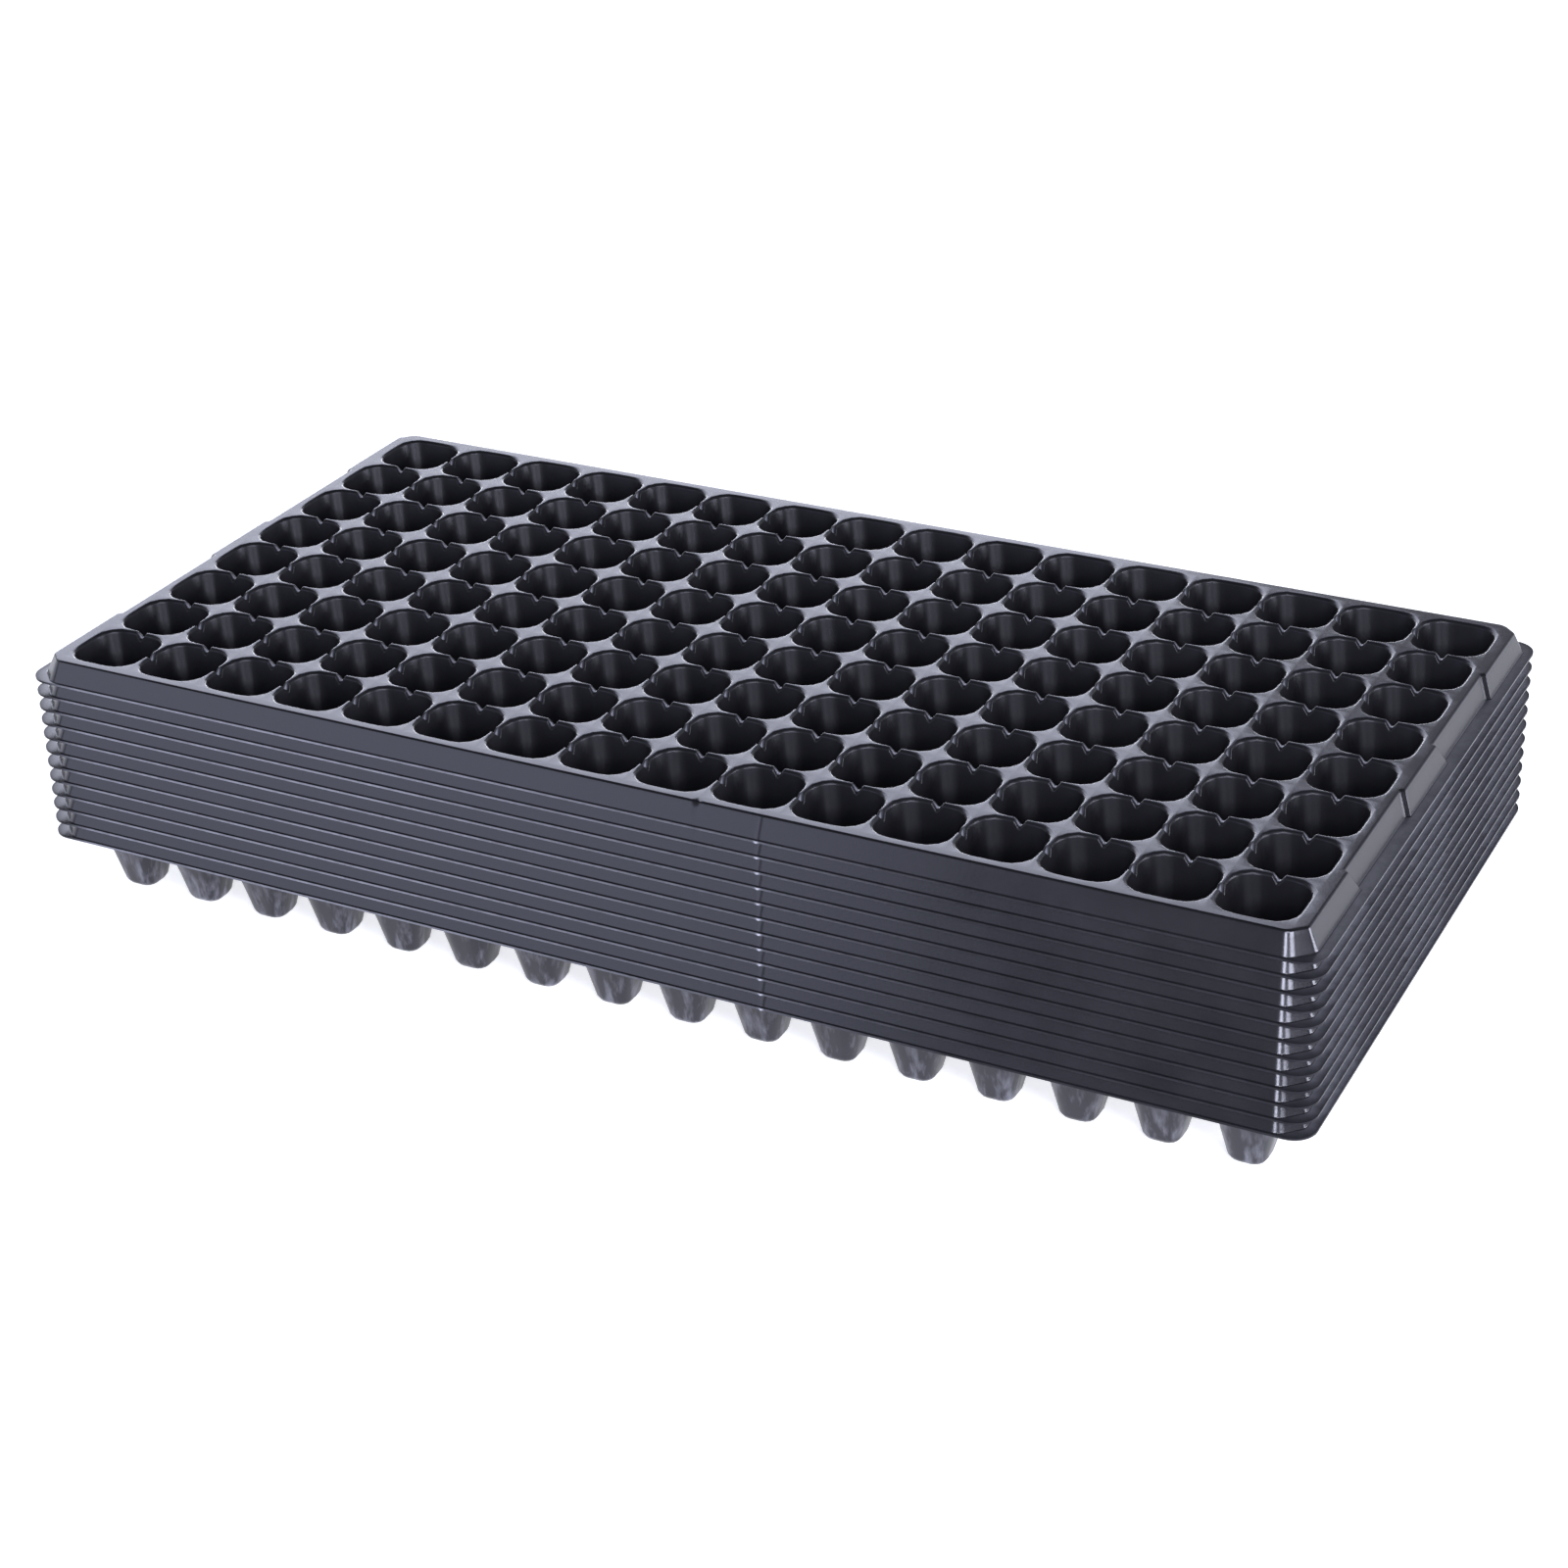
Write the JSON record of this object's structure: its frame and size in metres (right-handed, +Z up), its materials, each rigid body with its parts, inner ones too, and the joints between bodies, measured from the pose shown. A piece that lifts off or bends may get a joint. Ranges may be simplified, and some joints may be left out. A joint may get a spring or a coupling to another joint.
{
  "type": "plug tray stack",
  "caption": "Nested stack of thermoformed seedling plug trays with rows of tapered cells, a sloping skirt and a flange.",
  "frame": {"origin": "under the centre of the stack, on the plane that the lowest cell floors stand on", "axes": "+X along the long side of the trays, +Y along the short side, +Z up"},
  "size_m": [0.54, 0.274, 0.1064],
  "materials": {
    "tray_plastic": "satin"
  },
  "bodies": {
    "tray_01": {"tray_01": "tray_plastic"},
    "tray_02": {"tray_02": "tray_plastic"},
    "tray_03": {"tray_03": "tray_plastic"},
    "tray_04": {"tray_04": "tray_plastic"},
    "tray_05": {"tray_05": "tray_plastic"},
    "tray_06": {"tray_06": "tray_plastic"},
    "tray_07": {"tray_07": "tray_plastic"},
    "tray_08": {"tray_08": "tray_plastic"},
    "tray_09": {"tray_09": "tray_plastic"},
    "tray_10": {"tray_10": "tray_plastic"},
    "tray_11": {"tray_11": "tray_plastic"},
    "tray_12": {"tray_12": "tray_plastic"}
  },
  "joints": [
    {"name": "lift_02", "type": "slide", "parent": "tray_01", "child": "tray_02", "axis": [0, 0, 1], "range_m": [0, 0.04]},
    {"name": "lift_03", "type": "slide", "parent": "tray_02", "child": "tray_03", "axis": [0, 0, 1], "range_m": [0, 0.04]},
    {"name": "lift_04", "type": "slide", "parent": "tray_03", "child": "tray_04", "axis": [0, 0, 1], "range_m": [0, 0.04]},
    {"name": "lift_05", "type": "slide", "parent": "tray_04", "child": "tray_05", "axis": [0, 0, 1], "range_m": [0, 0.04]},
    {"name": "lift_06", "type": "slide", "parent": "tray_05", "child": "tray_06", "axis": [0, 0, 1], "range_m": [0, 0.04]},
    {"name": "lift_07", "type": "slide", "parent": "tray_06", "child": "tray_07", "axis": [0, 0, 1], "range_m": [0, 0.04]},
    {"name": "lift_08", "type": "slide", "parent": "tray_07", "child": "tray_08", "axis": [0, 0, 1], "range_m": [0, 0.04]},
    {"name": "lift_09", "type": "slide", "parent": "tray_08", "child": "tray_09", "axis": [0, 0, 1], "range_m": [0, 0.04]},
    {"name": "lift_10", "type": "slide", "parent": "tray_09", "child": "tray_10", "axis": [0, 0, 1], "range_m": [0, 0.04]},
    {"name": "lift_11", "type": "slide", "parent": "tray_10", "child": "tray_11", "axis": [0, 0, 1], "range_m": [0, 0.04]},
    {"name": "lift_12", "type": "slide", "parent": "tray_11", "child": "tray_12", "axis": [0, 0, 1], "range_m": [0, 0.04]}
  ]
}
